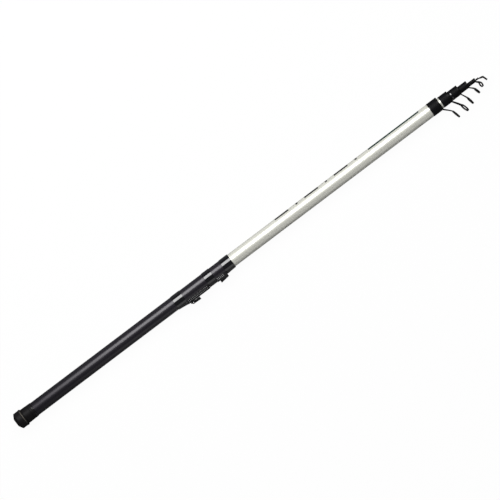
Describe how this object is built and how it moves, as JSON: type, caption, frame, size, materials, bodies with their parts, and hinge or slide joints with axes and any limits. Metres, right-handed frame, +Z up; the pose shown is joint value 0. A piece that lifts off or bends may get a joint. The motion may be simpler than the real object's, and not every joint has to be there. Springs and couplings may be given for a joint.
{
  "type": "telescopic fishing rod",
  "caption": "Closed telescopic fishing rod with nested tube sections, line guides, a clip reel seat with a sliding hood, a satin handle and a screw butt cap.",
  "frame": {"origin": "on the rod's axis at the outer face of the butt cap", "axes": "+X along the rod to its tip, guides and reel seat towards -Y, +Z up from the surface it lies on"},
  "size_m": [1.1665, 0.0648, 0.0362],
  "materials": {
    "pearl_lacquer": "gloss pearl white lacquer on a composite tube",
    "satin_black": "satin black sleeve",
    "gloss_black": "gloss black",
    "seat_black": "moulded satin black",
    "bright_steel": "polished",
    "wrap_black": "black thread wrap under clear resin",
    "guide_black": "black coated wire",
    "ring_black": "polished dark ceramic",
    "grip_rubber": "ribbed, worn pale at the edge",
    "cushion_foam": "soft foam",
    "cap_black": "moulded black"
  },
  "bodies": {
    "butt_section": {"butt_blank": "pearl_lacquer", "handle_sleeve": "satin_black", "butt_collar": "cap_black", "lower_binding": "gloss_black", "middle_binding": "gloss_black", "upper_binding": "gloss_black", "rail_plate": "seat_black", "rail_stop": "bright_steel", "fixed_hood": "seat_black", "tip_collar_1": "wrap_black", "guide_1_frame": "guide_black", "guide_1_ring": "ring_black"},
    "section_2": {"section_2_blank": "pearl_lacquer", "tip_collar_2": "wrap_black", "guide_2_frame": "guide_black", "guide_2_ring": "ring_black"},
    "section_3": {"section_3_blank": "pearl_lacquer", "tip_collar_3": "wrap_black", "guide_3_frame": "guide_black", "guide_3_ring": "ring_black"},
    "section_4": {"section_4_blank": "pearl_lacquer", "tip_collar_4": "wrap_black", "guide_4_frame": "guide_black", "guide_4_ring": "ring_black"},
    "section_5": {"section_5_blank": "pearl_lacquer", "tip_collar_5": "wrap_black", "guide_5_frame": "guide_black", "guide_5_ring": "ring_black"},
    "tip_section": {"section_6_blank": "pearl_lacquer", "tip_top_frame": "guide_black", "tip_top_ring": "ring_black"},
    "sliding_hood": {"sliding_hood": "seat_black", "lever_pin": "bright_steel"},
    "lock_lever": {"lock_lever": "seat_black"},
    "cap_cushion": {"cap_cushion": "cushion_foam"},
    "screw_cap": {"screw_cap": "cap_black", "cap_grip": "grip_rubber", "cap_seal": "grip_rubber"}
  },
  "joints": [
    {"name": "section_2_slide", "type": "slide", "parent": "butt_section", "child": "section_2", "axis": [1, 0, 0], "range_m": [0, 0.968]},
    {"name": "section_3_slide", "type": "slide", "parent": "section_2", "child": "section_3", "axis": [1, -0.0006, 0], "range_m": [0, 0.992]},
    {"name": "section_4_slide", "type": "slide", "parent": "section_3", "child": "section_4", "axis": [1, -0.0013, 0], "range_m": [0, 1.015]},
    {"name": "section_5_slide", "type": "slide", "parent": "section_4", "child": "section_5", "axis": [1, -0.0028, 0], "range_m": [0, 1.036]},
    {"name": "tip_section_slide", "type": "slide", "parent": "section_5", "child": "tip_section", "axis": [1, -0.0049, 0], "range_m": [0, 1.054]},
    {"name": "hood_slide", "type": "slide", "parent": "butt_section", "child": "sliding_hood", "axis": [1, 0, 0], "range_m": [-0.004, 0.0268]},
    {"name": "lever_turn", "type": "hinge", "parent": "sliding_hood", "child": "lock_lever", "pos_m": [0.4286, -0.02182, 0], "axis": [0, 0, 1], "range_deg": [0, 75]},
    {"name": "cap_travel", "type": "slide", "parent": "butt_section", "child": "cap_cushion", "axis": [-1, 0, 0], "range_m": [0, 0.0101]},
    {"name": "cap_turn", "type": "hinge", "parent": "cap_cushion", "child": "screw_cap", "pos_m": [0, 0, 0], "axis": [-1, 0, 0], "range_deg": [0, 1440]}
  ],
  "couplings": [
    {"joint": "cap_travel", "follows": "cap_turn", "m_per_rad": 0.00039789}
  ]
}
